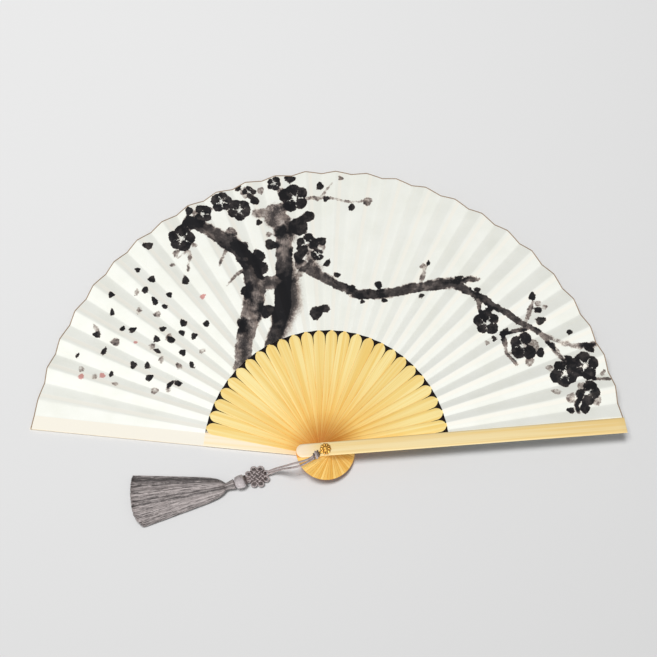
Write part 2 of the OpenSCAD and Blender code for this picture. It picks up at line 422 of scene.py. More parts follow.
def bamboo_material(name, light, mid, dark, head_shade, grain=1.0, tail_pale=0.0):
    """Polished bamboo. It reads along (metres along and across the stick, and a
    number for each stick), so that the grain follows every stick, and crease, the
    distance in millimetres from the edge of the stick that lies over it."""
    material = new_material(name, Specular_IOR_Level=0.25, Coat_Weight=0.05, Coat_Roughness=0.35)
    along = attribute(material, "along", "Vector")
    x = along.part("X")
    fibres = noise(along, (14.0, 1500.0, 37.0), 4.0, 0.6)
    bands = noise(along, (5.0, 330.0, 53.0), 2.0, 0.5)
    patches = noise(along, (16.0, 60.0, 91.0), 3.0, 0.5)
    colour = mix(remap(bands, 0.35, 0.68), light, mid)
    colour = mix(remap(fibres, 0.52, 0.78) * (0.55 * grain), colour, dark)
    colour = mix(remap(patches, 0.5, 0.8) * 0.35, colour, light)
    # Each stick has its own tone, which varies more in the tails.
    ahead = x.do("GREATER_THAN", 0.0)
    toned = mix(ahead, (0.84, 0.72, 0.46, 1.0), (0.95, 0.91, 0.82, 1.0))
    colour = tint((along.part("Z") * 7.31).do("FRACT"), colour, toned)
    # Painted shade and dirt make a brown line beside the next stick's edge; painted shade darkens the wood
    # by the pin, among the stacked sticks.
    pin_shade = remap(x, 0.012, 0.10, 1.0, 0.0) * (ahead * 0.3 + 0.7)
    pin_deep_shade = remap(x, 0.008, 0.046, 1.0, 0.0) * ahead
    dirt_and_shade_line_w = x.do("ABSOLUTE") * 8.0 + 0.25
    line = remap(attribute(material, "crease"), 0.0, dirt_and_shade_line_w, 1.0, 0.0, "LINEAR")
    line = line * remap(pin_shade, 0.0, 1.0, 0.55, 1.0)
    colour = tint(line * head_shade, colour, (0.78, 0.46, 0.16, 1.0))
    colour = tint(pin_shade * head_shade, colour, (0.97, 0.74, 0.40, 1.0))
    colour = tint(pin_deep_shade * head_shade, colour, (0.56, 0.32, 0.05, 1.0))
    colour = mix(remap(x, -0.024, -0.002, 1.0, 0.0) * tail_pale, colour, rgb(248, 228, 202))
    return finish_material(material, colour, fibres, 0.25, 0.0002, remap(fibres, 0.2, 0.8, 0.42, 0.58))


def paper_base(rest, pale, warm):
    """Mulberry paper: a pale ground with long fine fibres and soft clouds."""
    clouds = noise(rest, 38.0, 4.0, 0.6)
    fibre_a = noise(stretch(rest, (900.0, 60.0, 60.0), 0.5), 1.0, 3.0, 0.6)
    fibre_b = noise(stretch(rest, (60.0, 900.0, 60.0), 0.3), 1.0, 3.0, 0.6)
    fibre = fibre_a.do("MAXIMUM", fibre_b)
    colour = mix(remap(clouds, 0.3, 0.75), pale, warm)
    return mix(remap(fibre, 0.62, 0.8) * 0.35, colour, rgb(255, 255, 250)), fibre


def ink_on(colour, amount):
    """The paper's colour under that much ink, from none through brown-grey to black."""
    ink = put("ValToRGB", {"Fac": amount})
    ramp = ink.socket.node.color_ramp
    ramp.elements[0].color = WHITE
    ramp.elements[1].color = (0.010, 0.010, 0.013, 1.0)
    browns = ((0.22, (0.72, 0.67, 0.65)), (0.45, (0.34, 0.28, 0.27)), (0.72, (0.085, 0.072, 0.074)))
    for place, shade in browns:
        ramp.elements.new(place).color = (*shade, 1.0)
    return tint(1.0, colour, ink)


def leaf_material(name, front):
    """The painted paper. Vertex fields hold how far inside each kind of stroke a
    point is, in millimetres, and noise of several sizes makes the edges ragged."""
    material = new_material(name, Roughness=0.85, Specular_IOR_Level=0.25)
    rest = attribute(material, "rest", "Vector")
    colour, fibre = paper_base(rest, rgb(243, 244, 237), rgb(238, 239, 230))

    # The bamboo slip glued behind, and the guard at the end, show through as cream.
    slip = remap(attribute(material, "slip_off").do("ABSOLUTE"), 1.2, 2.6, 1.0, 0.0)
    guard = attribute(material, "over_guard")
    colour = mix(slip * (0.7 if front else 0.4), colour, rgb(247, 243, 232))
    colour = mix(guard * (0.9 if front else 0.4), colour, rgb(247, 241, 227))

    coarse = noise(rest, 120.0, 3.0, 0.6) - 0.5
    medium = noise(rest, 430.0, 4.0, 0.65) - 0.5
    fine = noise(rest, 1500.0, 4.0, 0.7) - 0.5
    wetness = remap(noise(rest, 26.0, 2.0, 0.5), 0.46, 0.62)

    def mottled(of_coarse, of_medium, of_fine):
        return coarse * of_coarse + medium * of_medium + fine * of_fine

    def inside(field, *amounts):
        return attribute(material, field) + mottled(*amounts)

    # Boughs and trunks, from a dry grey brush to wet black, with a soft or torn edge.
    stroke = attribute(material, "stroke", "Vector")
    tone = stroke.part("Z")
    brush = noise(stroke, (90.0, 700.0, 0.0), 4.0, 0.7) - 0.5
    shape = brush * 2.5 + inside("ink_wash", 6.0, 3.0, 0.9)
    wash = remap(shape, remap(wetness, 0.0, 1.0, -0.3, -1.4), remap(wetness, 0.0, 1.0, 0.4, 1.8))
    grain = (mottled(0.3, 0.3, 0.6) + brush * 0.6) * (1.25 - tone)
    # Wet black runs a little way into the wash around each dab.
    run_in = remap(inside("ink_dark", 6.0, 2.0, 0.5), -5.0, 0.0, 0.0, 0.45)
    wash = wash * (tone + coarse * 0.8 + run_in + grain)
    bleed = remap(inside("ink_bleed", 5.0, 8.0, 15.0), -3.0, 9.5, 0.0, 0.85)
    pale = remap(inside("ink_pale", 4.0, 2.6, 1.0), -0.4, 0.8) * (mottled(1.6, 0.8, 0.3) + 0.42)
    dark = remap(inside("ink_dark", 4.5, 2.6, 1.0), -0.3, 0.35) * (mottled(0.7, 0.2, 0.1) + 0.95)
    dark = dark * remap(inside("core", 0.0, 7.0, 6.0), -0.3, 0.5)
    clear = 1.0
    for layer in (wash, bleed, pale, dark):
        clear = (1.0 - put("Clamp", {"Value": layer, "Max": 0.99 if front else 0.3})) * clear
    colour = ink_on(colour, 1.0 - clear)
    red = remap(inside("ink_red", 3.0, 3.0, 2.0), -0.3, 0.5, 0.0, 0.7 if front else 0.15)
    colour = mix(red, colour, rgb(196, 84, 78))
    return finish_material(material, colour, slip * 0.5 + fibre * 0.35 + fine * 0.25, 0.5, 0.00018)


def plain_paper_material(name, pale, warm):
    material = new_material(name, Roughness=0.9, Specular_IOR_Level=0.2)
    colour, fibre = paper_base(attribute(material, "rest", "Vector"), pale, warm)
    return finish_material(material, mix(0.4, pale, mix(0.5, colour, warm)), fibre, 0.4, 0.0001)


def brass_material(name, bright, dark, scale, metallic):
    """Gilt brass with tarnish in its hollows and fine scratches. It reads groove,
    how deep in a hollow a point is, which is nothing on the plain CAD pieces."""
    material = new_material(name, Metallic=metallic)
    where = object_place(material)
    tarnish = noise(where, scale, 4.0, 0.65)
    scratches = noise(stretch(where, (2600.0, 500.0, 500.0), 0.6), 1.0, 3.0, 0.6)
    colour = mix(remap(tarnish, 0.42, 0.72), bright, dark)
    colour = mix(attribute(material, "groove"), colour, rgb(134, 76, 24))
    roughness = remap(tarnish, 0.3, 0.75, 0.2, 0.5)
    return finish_material(material, colour, tarnish + scratches, 0.35, 0.0001, roughness)


def silk_material(name, light, dark, sheen=0.5, fleck=0.5):
    """Satin cord or thread: tonal variation, a soft sheen and a fine ply."""
    material = new_material(name, Roughness=0.5, Sheen_Weight=sheen, Sheen_Roughness=0.35)
    where = object_place(material)
    ply = noise(where, 1700.0, 3.0, 0.7)
    shade = noise(where, 420.0, 3.0, 0.6) * (1.0 - fleck) + ply * fleck
    return finish_material(material, mix(remap(shade, 0.34, 0.66), dark, light), ply, 0.4, 0.00015)


def thread_material(name, light, mid, dark):
    """Tassel threads: each has its own tone, stored on its points."""
    material = new_material(name, Roughness=0.46, Sheen_Weight=0.4, Sheen_Roughness=0.3)
    where = object_place(material)
    level = attribute(material, "tone") + (noise(where, 240.0, 3.0, 0.6) - 0.5) * 0.7
    colour = mix(remap(level, 0.05, 0.55), dark, mid)
    colour = mix(remap(level, 0.5, 1.0), colour, light)
    return finish_material(material, colour, noise(where, 2200.0, 2.0, 0.55), 0.3, 0.0001)


FRONT_BAMBOO = bamboo_material(
    "front_guard_bamboo", rgb(244, 223, 170), rgb(238, 207, 140), rgb(222, 186, 116), 0.0, 0.7, 0.75)
BACK_BAMBOO = bamboo_material(
    "back_guard_bamboo", rgb(255, 241, 216), rgb(254, 232, 190), rgb(244, 214, 156), 0.35, 0.6)
RIB_BAMBOO = bamboo_material(
    "rib_bamboo", rgb(252, 232, 162), rgb(246, 212, 124), rgb(226, 178, 88), 0.9)
LEAF_FRONT = leaf_material("painted_paper", front=True)
LEAF_BACK = leaf_material("paper_back", front=False)
RIM_PAPER = plain_paper_material("rim_paper", rgb(170, 148, 126), rgb(120, 98, 80))
# Dark paper that stands in for the shade seen between the rib tips: painted shade.
NECK_SHADE_PAPER = plain_paper_material("dark_paper", rgb(30, 20, 20), rgb(20, 14, 14))
BRASS = brass_material("aged_brass", rgb(196, 156, 78), rgb(96, 74, 34), 900.0, 1.0)
GILT = brass_material("bright_gilt", rgb(240, 190, 92), rgb(196, 124, 46), 700.0, 0.7)
CORD_SILK = silk_material("cord_silk", rgb(184, 170, 167), rgb(132, 118, 116), fleck=0.35)
KNOT_SILK = silk_material("knot_silk", rgb(190, 177, 175), rgb(130, 118, 118), sheen=0.7)
BEAD_SILK = silk_material("bead_silk", rgb(198, 190, 190), rgb(156, 147, 149), sheen=0.7)
# A darker copy of the cord's silk, as painted shade on the hitch's outer turns.
SHADED_CORD_SILK = silk_material("shaded_cord_silk", rgb(128, 112, 106), rgb(70, 56, 50), sheen=0.4)
DARK_SILK = silk_material("dark_silk", rgb(92, 78, 76), rgb(46, 36, 34), sheen=0.3)
TASSEL_SILK = thread_material("tassel_threads", rgb(192, 182, 180), rgb(142, 133, 131), rgb(64, 57, 56))
# Darker than the threads: painted shade in the gaps of the skirt.
TASSEL_SHADE_CORE = silk_material("tassel_shade_core", rgb(96, 86, 89), rgb(58, 50, 53), sheen=0.2)

# ---------------------------------------------------------------- cords

CORD_D = 2.0
# The strands' routes, over the head's edge and down to the knot.
UPPER_ROUTE = [
    (-11.5, -6.8, 24.3), (-14, -8.7, 24), (-17, -10.4, 23.95), (-20.5, -11.7, 23.95),
    (-24, -12.8, 23.95), (-27.5, -13.7, 23.95), (-30.5, -14.5, 23.9), (-33.5, -15.2, 23.3),
    (-36.5, -15.9, 21.6), (-39.5, -16.5, 18.9), (-42.5, -17, 15.7), (-45.5, -17.4, 12.3),
    (-48.5, -17.9, 9.3), (-51.5, -18.6, 6.9), (-54.5, -19.6, 5.3), (-58, -21.1, 4.6)]
LOWER_ROUTE = [
    (-10.5, -8.7, 24.3), (-13, -10.6, 24), (-15.8, -12.2, 23.95), (-19, -14, 23.95),
    (-22.5, -15.8, 23.95), (-26, -17.2, 23.95), (-29.3, -18.1, 23.9), (-32.4, -18.6, 23.3),
    (-35.5, -18.9, 21.6), (-38.6, -19.1, 18.9), (-41.7, -19.3, 15.7), (-44.8, -19.7, 12.3),
    (-47.9, -20.2, 9.3), (-51, -20.9, 6.9), (-54, -22, 5.3), (-57.5, -23.3, 4.6)]


def add_strand(which, route):
    path = smooth_route(route, 8)
    strand = add_piece("strand_" + which, tube(path, CORD_D / 2 * 1.03, 20, ply=(0.22, 0.05)),
                       CORD_SILK, "silk_cord", "pendant", "cord_strand_" + which)


add_strand("upper", UPPER_ROUTE)
add_strand("lower", LOWER_ROUTE)

# ---------------------------------------------------------------- sticks

ACROSS = 16          # spans across a stick, closer together at its edges
HOLE_PATCH = 4.6     # half length of the patch around the pin's hole
TIP_TUCK = 1.4       # how far a rib's tip runs on towards the leaf


def stick_plan(half_width, start, end, rows_tail, rows_front):
    """A stick's outline along +X as a flat mesh with a pin hole.

    half_width(x), start(v) and end(v) shape it, with v from -1 to 1 across.
    Returns its points, its faces and the v of each point."""
    v = -np.cos(np.arange(ACROSS + 1) * math.pi / ACROSS)
    points, sides, faces = [], [], []

    def add_points(x, y, v_of):
        first = len(points)
        points.extend(zip(x, y))
        sides.extend(v_of)
        return list(range(first, len(points)))

    def add_rows(x_low, x_high, rows):
        faces.extend([a, d, c, b] for a, b, c, d in grid_faces(rows + 1, ACROSS + 1, len(points)))
        ids = []
        for i in range(rows + 1):
            x = x_low + (x_high - x_low) * i / rows
            ids.append(add_points(x, v * half_width(x), v))
        return ids

    patch_end = np.full(ACROSS + 1, HOLE_PATCH)
    left = add_rows(start(v), -patch_end, rows_tail)[-1]
    right = add_rows(patch_end, end(v), rows_front)[0]
    # The patch between the two blocks of rows runs in from its rim to the hole.
    x = v[1:-1] * HOLE_PATCH
    ones = np.ones_like(x)
    upper = add_points(x, half_width(x) * ones, ones)
    lower = add_points(x[::-1], -half_width(x[::-1]) * ones, -ones)
    rim = left + upper + right[::-1] + lower
    rim_x, rim_y = np.array(points)[rim].T
    hole = polar(PIN_R + PIN_CLEAR, np.degrees(np.arctan2(rim_y, rim_x)))
    hole = add_points(hole[:, 0], hole[:, 1], np.zeros(len(rim)))
    faces += [[rim[i - 1], hole[i - 1], hole[i], rim[i]] for i in range(len(rim))]
    return np.array(points), faces, np.array(sides)


def slab(plan, faces, low, high):
    """A closed solid over a flat mesh, between the heights low and high."""
    count = len(plan)
    points = np.vstack([np.column_stack([plan, high]), np.column_stack([plan, low])])
    edges = {edge: True for face in faces for edge in zip(face, face[1:] + face[:1])}
    walls = [[b, a, a + count, b + count] for a, b in edges if (b, a) not in edges]
    return points, faces + [[i + count for i in f[::-1]] for f in faces] + walls


def rounded(edge_distance, reach, drop):
    """How far a rounded edge falls below the face, at a distance from the edge."""
    return drop * (1 - round_cap(1 - np.clip(edge_distance / reach, 0.0, 1.0)))


def add_stick(name, part, direction, lift, number, next_turn, **look):
    """A stick made along +X, turned to its direction and lifted. Keeps each point's
    place on the stick, and how far it is from the edge of the rib over it, which is
    turned by next_turn."""
    x, y, z = part[0].T
    points = np.column_stack([*rotated(x, y, direction), z + lift])
    stick = add_piece(name, (points, part[1]), sharp_deg=50, **look)
    store(stick, "along", np.column_stack([x * MM, y * MM, np.full(len(x), number)]))
    from_axis = np.abs(rotated(x, y, -next_turn)[1])
    store(stick, "crease", np.clip(from_axis - RIB_W / 2, 0.0, 9.0))


def slip_part(k):
    """The thin slip of rib k: flat in the neck, then leaning under its pleat."""
    r = np.concatenate([np.linspace(114, 119, 3), np.linspace(120, 124, 7),
                        np.linspace(130, 294, 24), [295.6, 296.5]])[:, None]
    lean = PLEAT_LEAN * pleat_share(k) * smooth_step((r - 120.6) / 2.2)
    half = 1.0 + (SLIP_W / 2 - 1.0) * smooth_step((r - 120.8) / 2.0)
    half = half * np.where(r > 296, 0.45, np.where(r > 295, 0.9, 1.0))
    top, bevel = SLIP_T / 2, 0.06
    u = np.array([-1, 1, 1, 0.75, -0.75, -1])
    h = np.array([-top, -top, top - bevel, top, top, top - bevel])
    y = u * half
    rings = np.broadcast_arrays(r, y * np.cos(lean) - h * np.sin(lean),
                                y * np.sin(lean) + h * np.cos(lean) + RIB_T / 2)
    return loft(np.stack(rings, axis=-1), flip=True)


def add_rib(k):
    half = RIB_W / 2
    tip_from = RIB_REACH - half
    tip_l = half + TIP_TUCK
    plan, faces, _ = stick_plan(
        lambda x: half, lambda v: -np.sqrt(RIB_TAIL**2 - (v * half) ** 2),
        lambda v: tip_from + tip_l * round_cap(v), 9, 40)
    x, y = plan.T
    tip = half * (1 - np.hypot((x - tip_from) / tip_l, y / half))
    tail = RIB_TAIL - np.hypot(x, y)
    edge = np.where(x > tip_from, tip, np.minimum(half - np.abs(y), np.where(x < 0, tail, half)))
    high = RIB_T - 0.10 * (y / half) ** 2 - rounded(edge, 0.9, 0.17)
    blade = slab(plan, faces, rounded(edge, 0.5, 0.06), high)
    add_stick(rib_name(k) + "_bamboo", join([blade, slip_part(k)]), rib_dir(k), rib_z(k),
              k * 0.37 + 0.11, -RIB_PITCH, material=RIB_BAMBOO, slot="bamboo_rib",
              body=rib_name(k), node=rib_name(k))


def guard_half(x):
    return (GUARD_W_HEAD + (GUARD_W_TIP - GUARD_W_HEAD) * np.maximum(x, 0.0) / GUARD_REACH) / 2


def add_guard(end, direction, slant, outer_up, number, material):
    """A guard, lying with its leaf side up and then turned over if outer_up."""
    tail_r = GUARD_W_HEAD / 2
    centre = tail_r - GUARD_TAIL
    plan, faces, v = stick_plan(
        guard_half, lambda v: centre - tail_r * round_cap(v), lambda v: GUARD_REACH + slant * v, 8, 74)
    x, y = plan.T
    side = guard_half(x) - np.abs(y)
    tail = np.where(x < centre, tail_r - np.hypot(x - centre, y), side)
    edge = np.minimum(np.minimum(side, tail), GUARD_REACH + slant * v - x)
    relief = (GUARD_T - GUARD_THIN_T) * smooth_step((x - RIB_REACH - 0.2) / 0.8)
    inner = GUARD_T - relief - rounded(edge, 0.9, 0.35)
    outer = rounded(edge, 2.2, 0.75) + 0.12 * (y / guard_half(x)) ** 2
    points, faces = slab(plan, faces, outer, inner)
    if outer_up:
        points[:, 2] = GUARD_T - points[:, 2]
        faces = turned_over(faces)
    add_stick(end + "_guard_bamboo", (points, faces), direction, FRONT_Z if outer_up else 0.0,
              number, -FIRST_GAP, material=material, slot="bamboo_guard",
              body=end + "_stick", node="guard_" + end)


for k in RIBS:
    add_rib(k)
add_guard("back", BACK_DIR, 1.4, False, 5.9, BACK_BAMBOO)
add_guard("front", FRONT_DIR, -0.6, True, 3.3, FRONT_BAMBOO)

# ---------------------------------------------------------------- pleats

def constant(value):
    return lambda r: np.full_like(r, value)


def guard_edge(direction, inset, side):
    """The direction, at a radius, of a line that far inside a guard's edge."""
    return lambda r: direction + side * np.degrees(np.arcsin((guard_half(r) - inset) / r))


def slope(k, rise):
    """A height over rib k's slip that rises by that much from the pin to the rim."""
    under = rib_z(k) + RIB_T / 2 + SLIP_T / 2 / math.cos(PLEAT_LEAN) + SKIN
    return lambda r: under + rise * r / LEAF_OUT


def make_folds():
    """Each fold line from the back guard to the front guard, as (direction at a
    radius, height at a radius, share of the fan's turn, how far it stands out of
    the rim). Between the guards' own, ridges have even places and valleys odd ones."""
    ridge_part = RIDGE_AHEAD / (RIDGE_AHEAD + VALLEY_AFTER)
    on_back = constant(GUARD_THIN_T + SKIN)
    on_front = constant(TOP_Z - GUARD_THIN_T - SKIN - LEAF_T)
    folds = [(guard_edge(BACK_DIR, 0.3, 1), on_back, 0.0, 2.4),
             (guard_edge(BACK_DIR, 1.0, -1), on_back, 0.0, 1.2)]
    for k in RIBS:
        height = PLEAT_H * pleat_share(k)
        ridge_more, valley_more = rng.uniform(-0.06, 0.1, 2)
        ridge_turn, valley_turn = rng.uniform(-0.1, 0.1, 2)
        ridge_z = slope(k, height * ridge_part * (1 + ridge_more))
        valley_z = slope(k, -height * (1 - ridge_part) * (1 - abs(valley_more)))
        folds += [
            (constant(rib_dir(k) + RIDGE_AHEAD + ridge_turn), ridge_z, rib_share(k), rng.uniform(0.3, 1.0)),
            (constant(rib_dir(k) - VALLEY_AFTER + valley_turn), valley_z, rib_share(k), -0.7)]
    return folds + [(constant(FRONT_DIR + 1.75), on_front, 1.0, 0.4),
                    (guard_edge(FRONT_DIR, 0.3, -1), on_front, 1.0, 0.0)]


FOLDS = make_folds()
CREASE = 0.13        # how far a crease is rounded off at the rim
CREASE_PART = 0.06   # the part of a face on each side that the rounding takes
STEPS = [0.0, 0.035, 0.11, 0.22, 0.35, 0.5, 0.65, 0.78, 0.89, 0.965]
# (fold, part of the way to the next fold) for each column across the leaf.
COLUMNS = [(i, t) for i in range(len(FOLDS) - 1) for t in STEPS] + [(len(FOLDS) - 2, 1.0)]
COLUMN_SHARES = [FOLDS[f][2] * (1 - t) + FOLDS[f + 1][2] * t for f, t in COLUMNS]


def pleat_surface(radius_of):
    """Direction, height and radius of every column at the radii radius_of(column's
    rim offset) gives: arrays of rows by columns."""
    dirs, zs, rs = [], [], []
    for fold, t in COLUMNS:
        dir_a, z_a, _, out_a = FOLDS[fold]
        dir_b, z_b, _, out_b = FOLDS[fold + 1]
        r = radius_of(out_a + (out_b - out_a) * t)
        z = z_a(r) * (1 - t) + z_b(r) * t
        nearest = fold if t < 0.5 else fold + 1
        if 1 < nearest < len(FOLDS) - 2:
            worn = CREASE * max(0.0, 1 - min(t, 1 - t) / CREASE_PART) * r / LEAF_OUT
            z = z - worn if nearest % 2 == 0 else z + worn
        dirs.append(dir_a(r) * (1 - t) + dir_b(r) * t)
        zs.append(z)
        rs.append(r)
    return np.array(dirs).T, np.array(zs).T, np.array(rs).T


def slip_offsets(direction, radius):
    """Signed distance of each point from the nearest rib's axis, in millimetres."""
    axes = np.array([rib_dir(k) for k in RIBS])
    nearest = np.abs(direction[..., None] - axes).argmin(-1)
    return np.clip(radius * np.radians(direction - axes[nearest]), -9, 9)


def waves(x, y, seed):
    """Slow irregular swells from a few crossed sines, from -1 to 1."""
    local = np.random.default_rng(seed)
    total = np.zeros_like(x)
    for _ in range(7):
        a, length, phase = local.uniform(0, math.pi), local.uniform(22, 70), local.uniform(0, 2 * math.pi)
        total += np.sin((x * math.cos(a) + y * math.sin(a)) * 2 * math.pi / length + phase)
    return total / 7


def add_folding(name, part, material, slot, node, sharp_deg):
    """A piece laid on the open fan, with its transform baked into its mesh.
    Its material reads rest, the place on the open fan."""
    piece = add_piece(name, part, material, slot, node=node, sharp_deg=sharp_deg)
    store(piece, "rest", part[0] * MM)
    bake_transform(piece)
    return piece


# ---------------------------------------------------------------- painting

# Strokes are given on the open fan, as (direction, radius, half width, tone).
BOUGHS = [
    [(135.5, 119, 9.5, 0.46), (127, 140, 8.5, 0.5), (119, 160, 11, 0.56), (113.5, 184, 10.5, 0.7),
     (112, 210, 9.5, 0.94), (113.8, 234, 8.5, 0.9), (117.5, 260, 7.5, 0.72), (121, 284, 6, 0.94)],
    [(118.5, 119, 8, 0.74), (111.5, 136, 7.5, 0.9), (107, 156, 9, 1.1), (104.4, 180, 9, 1.1),
     (102.4, 205, 9, 0.72), (101.2, 228, 9, 0.52), (101.2, 246, 10, 0.46), (102.6, 256, 12, 0.44)],
    [(106.6, 262, 4.5, 0.46), (103, 259, 7, 0.44), (99.4, 263, 5.0, 0.44)],
    [(112, 188, 7, 0.56), (107, 183, 7.5, 0.60), (104, 183, 8, 0.66)],
    [(98, 197, 6, 0.50), (92, 183, 5.4, 0.70), (85, 171, 4.8, 0.80), (78, 165, 5.0, 0.86),
     (71, 171, 5.0, 0.84), (65, 182, 5.2, 0.80), (60, 195, 5.2, 0.72), (55.5, 209, 6.2, 0.82),
     (52.5, 218, 5.4, 0.92), (48, 221, 3.8, 0.80), (43, 226, 4.2, 0.86), (38, 232, 3.6, 0.78),
     (33, 239, 3.4, 0.72), (29, 249, 3.4, 0.84)],
    [(29, 249, 2.4, 0.62), (26, 258, 2.0, 0.44), (23, 272, 2.0, 0.42), (21.6, 294, 3.0, 0.72)],
    [(29, 249, 2.4, 0.55), (23.5, 254, 2.0, 0.45), (18.5, 262, 2.4, 0.52), (15, 280, 1.8, 0.5),
     (14, 296, 1.6, 0.6)],
    [(46, 224, 2.8, 0.72), (43, 216, 2.4, 0.62), (39, 210, 2.2, 0.6)],
    [(31, 243, 2.6, 0.60), (32, 229, 2.4, 0.62), (33.5, 217, 2.6, 0.70), (28, 209, 2.2, 0.5),
     (24, 212, 1.4, 0.4)],
    [(52, 219, 3.0, 0.76), (50, 231, 2.8, 0.72), (48, 239, 2.0, 0.6)],
    [(12, 262, 2.8, 0.80), (10.5, 256, 2.4, 0.80), (8.5, 256, 2.0, 0.75)]]
# Thin pale twigs.
TWIGS = [
    [(60, 196, 2.0), (61, 207, 2.4), (61.5, 218, 1.6)],
    [(32, 240, 1.8), (34, 252, 2.6), (35.6, 262, 1.6)],
    [(95, 268, 2.2), (91, 270, 2.0), (86.5, 266, 1.6), (82.5, 266, 1.4), (80, 270, 2.2)],
    [(92, 267, 1.8), (90, 278, 1.6), (88.6, 286, 1.0)],
    [(124, 262, 2.4), (125, 250, 2.0), (127.5, 238, 1.4)], [(124.6, 255, 1.8), (127.6, 256, 1.4)],
    [(112, 207, 2.4), (116, 208, 1.8), (121, 201, 1.2)],
    [(115.5, 240, 2.6), (118, 231, 1.8), (120, 224, 1.0)],
    [(101, 178, 3.0), (97, 192, 3.4), (93, 201, 2.2)]]
# Where a wet wash bleeds into the paper, with a soft grainy edge.
BLEEDS = [
    [(114, 120, 6), (108, 138, 8), (103, 157, 11), (101.6, 180, 9), (101, 200, 6)],
    [(99.5, 226, 5), (98, 240, 7)], [(103.5, 250, 7), (102, 262, 6)],
    [(133, 124, 7), (125, 146, 6)], [(109, 186, 5), (105, 178, 7)], [(95, 202, 6), (92.6, 190, 5)]]
# Blossoms as (direction, radius, size, turn).
BLOSSOMS = [
    (124.4, 271, 14.5, 12), (117.8, 284, 11.0, 40), (112.9, 287, 12.0, 20), (110.0, 272, 12.5, 55),
    (106.8, 287, 8.0, 10), (97.2, 271, 16.5, 30), (101.2, 290, 8.0, 0), (95.4, 218, 12.0, 5),
    (92.4, 206, 7.5, 40), (38.4, 210, 13.5, 25), (27.8, 228, 15.0, 8), (17.8, 254, 14.5, 44),
    (18.0, 276, 14.5, 15), (12.4, 269, 13.0, 60)]
# Buds, leaves and moss dots as (direction, radius, length, width, turn).
DABS = [
    (131.0, 286, 11, 9, 40), (129.6, 232, 11, 7, 100), (106.4, 251, 7, 6, 0), (106.0, 277, 10, 9, 80),
    (97.6, 293, 12, 8, 10), (91.4, 283, 9, 7, 90), (90.0, 268, 7, 6, 20), (84.0, 260, 9, 7, 80),
    (97.0, 240, 22, 19, 70), (94.2, 248, 15, 11, 20), (93.8, 143, 15, 13, 30), (90.8, 147, 14, 8, 170),
    (112.6, 157, 17, 12, 30), (105.0, 224, 13, 11, 0), (109.4, 217, 16, 13, 110), (109.6, 203, 15, 12, 150),
    (112.8, 233, 16, 12, 160), (116.4, 187, 13, 9, 60), (123.6, 158, 13, 9, 130), (91.0, 221, 10, 8, 40),
    (97.8, 206, 13, 10, 20), (101.4, 236, 12, 9, 60), (86.4, 183, 8, 6, 20), (89.6, 196, 9, 6, 70),
    (72.4, 181, 8, 6.4, 60), (80.6, 172, 6, 4, 0), (76.0, 158, 6, 4.4, 0), (68.6, 166, 6, 4.4, 0),
    (58.2, 188, 7, 5, 10), (52.2, 227, 9, 5, 10), (61.4, 223, 6, 4, 80), (46.6, 229, 8, 5, 30),
    (36.8, 266, 9, 6.4, 85), (33.4, 263, 9, 6, 40), (31.0, 257, 12, 8, 15), (33.4, 221, 9, 7, 60),
    (24.6, 240, 10, 7, 70), (24.8, 253, 9, 6.6, 160), (25.8, 277, 6, 5, 0), (20.8, 264, 11, 6, 150),
    (21.4, 287, 13, 7, 140), (9.2, 249, 9, 5.4, 170), (9.0, 264, 10, 8, 20), (33.4, 207, 6, 5, 0),
    (119.8, 293, 9, 8, 30), (121.6, 284, 9, 7, 10), (108.6, 296, 8, 6, 60), (40.6, 222, 6, 4, 0)]
# Faint washed buds, the same way.
FAINT_DABS = [
    (107.6, 291, 11, 8, 40), (104.2, 287, 9, 7, 70), (127.2, 261, 9, 6, 40), (122.8, 258, 8, 5.4, 0),
    (80.6, 268, 10, 8, 40), (87.0, 291, 6, 5, 0), (99.8, 281, 9, 7, 0), (62.2, 216, 8, 5.4, 80),
    (34.8, 266, 8, 6, 160), (33.2, 269, 7, 6, 30), (20.0, 241, 9, 7, 160), (14.2, 240, 10, 6.4, 170),
    (10.4, 277, 12, 10, 40), (12.0, 252, 11, 9, 60), (33.6, 198, 6, 5, 0), (23.4, 226, 10, 8, 30),
    (27.6, 213, 6, 5, 0), (104.8, 236, 7, 6, 0), (113.6, 252, 10, 12, 80), (91.4, 213, 12, 9, 60),
    (15.6, 292, 8, 5, 60), (122.2, 277, 8, 6, 0), (98.8, 233, 10, 8, 20), (129.6, 253, 6, 4, 0)]


def capsule_fields(x, y, lines):
    """How far inside a set of tapering strokes each point is, with where it is
    along and across the stroke it is most inside, and that stroke's tone."""
    best = np.full(x.shape, -9.0)
    along, across, tone = np.zeros_like(x), np.zeros_like(x), np.zeros_like(x)
    start = 0.0
    for line in lines:
        line = [tuple(p) + (0.6,) * (4 - len(p)) for p in line]
        for (da, ra, wa, ta), (db, rb, wb, tb) in zip(line, line[1:]):
            a = polar(ra, da)[:2]
            step = polar(rb, db)[:2] - a
            length = float(np.hypot(*step))
            t = np.clip(((x - a[0]) * step[0] + (y - a[1]) * step[1]) / length**2, 0, 1)
            dx, dy = x - a[0] - t * step[0], y - a[1] - t * step[1]
            inside = wa + (wb - wa) * t - np.hypot(dx, dy)
            take = inside > best
            best = np.where(take, inside, best)
            along = np.where(take, start + t * length, along)
            across = np.where(take, (dx * step[1] - dy * step[0]) / length, across)
            tone = np.where(take, ta + (tb - ta) * t, tone)
            start += length
        start += 40.0
    return best, along, across, tone


def dab_field(x, y, dabs):
    """How far inside a set of pointed dabs each point is."""
    best = np.full(x.shape, -9.0)
    for direction, radius, length, width, turned in dabs:
        cx, cy = polar(radius, direction)[:2]
        u, w = rotated(x - cx, y - cy, -turned)
        u = u / (length / 2)
        w = w / (width / 2) / (1.05 - 0.42 * np.clip(u, -1, 1))
        best = np.maximum(best, (1 - np.hypot(u, w)) * width / 2)
    return best


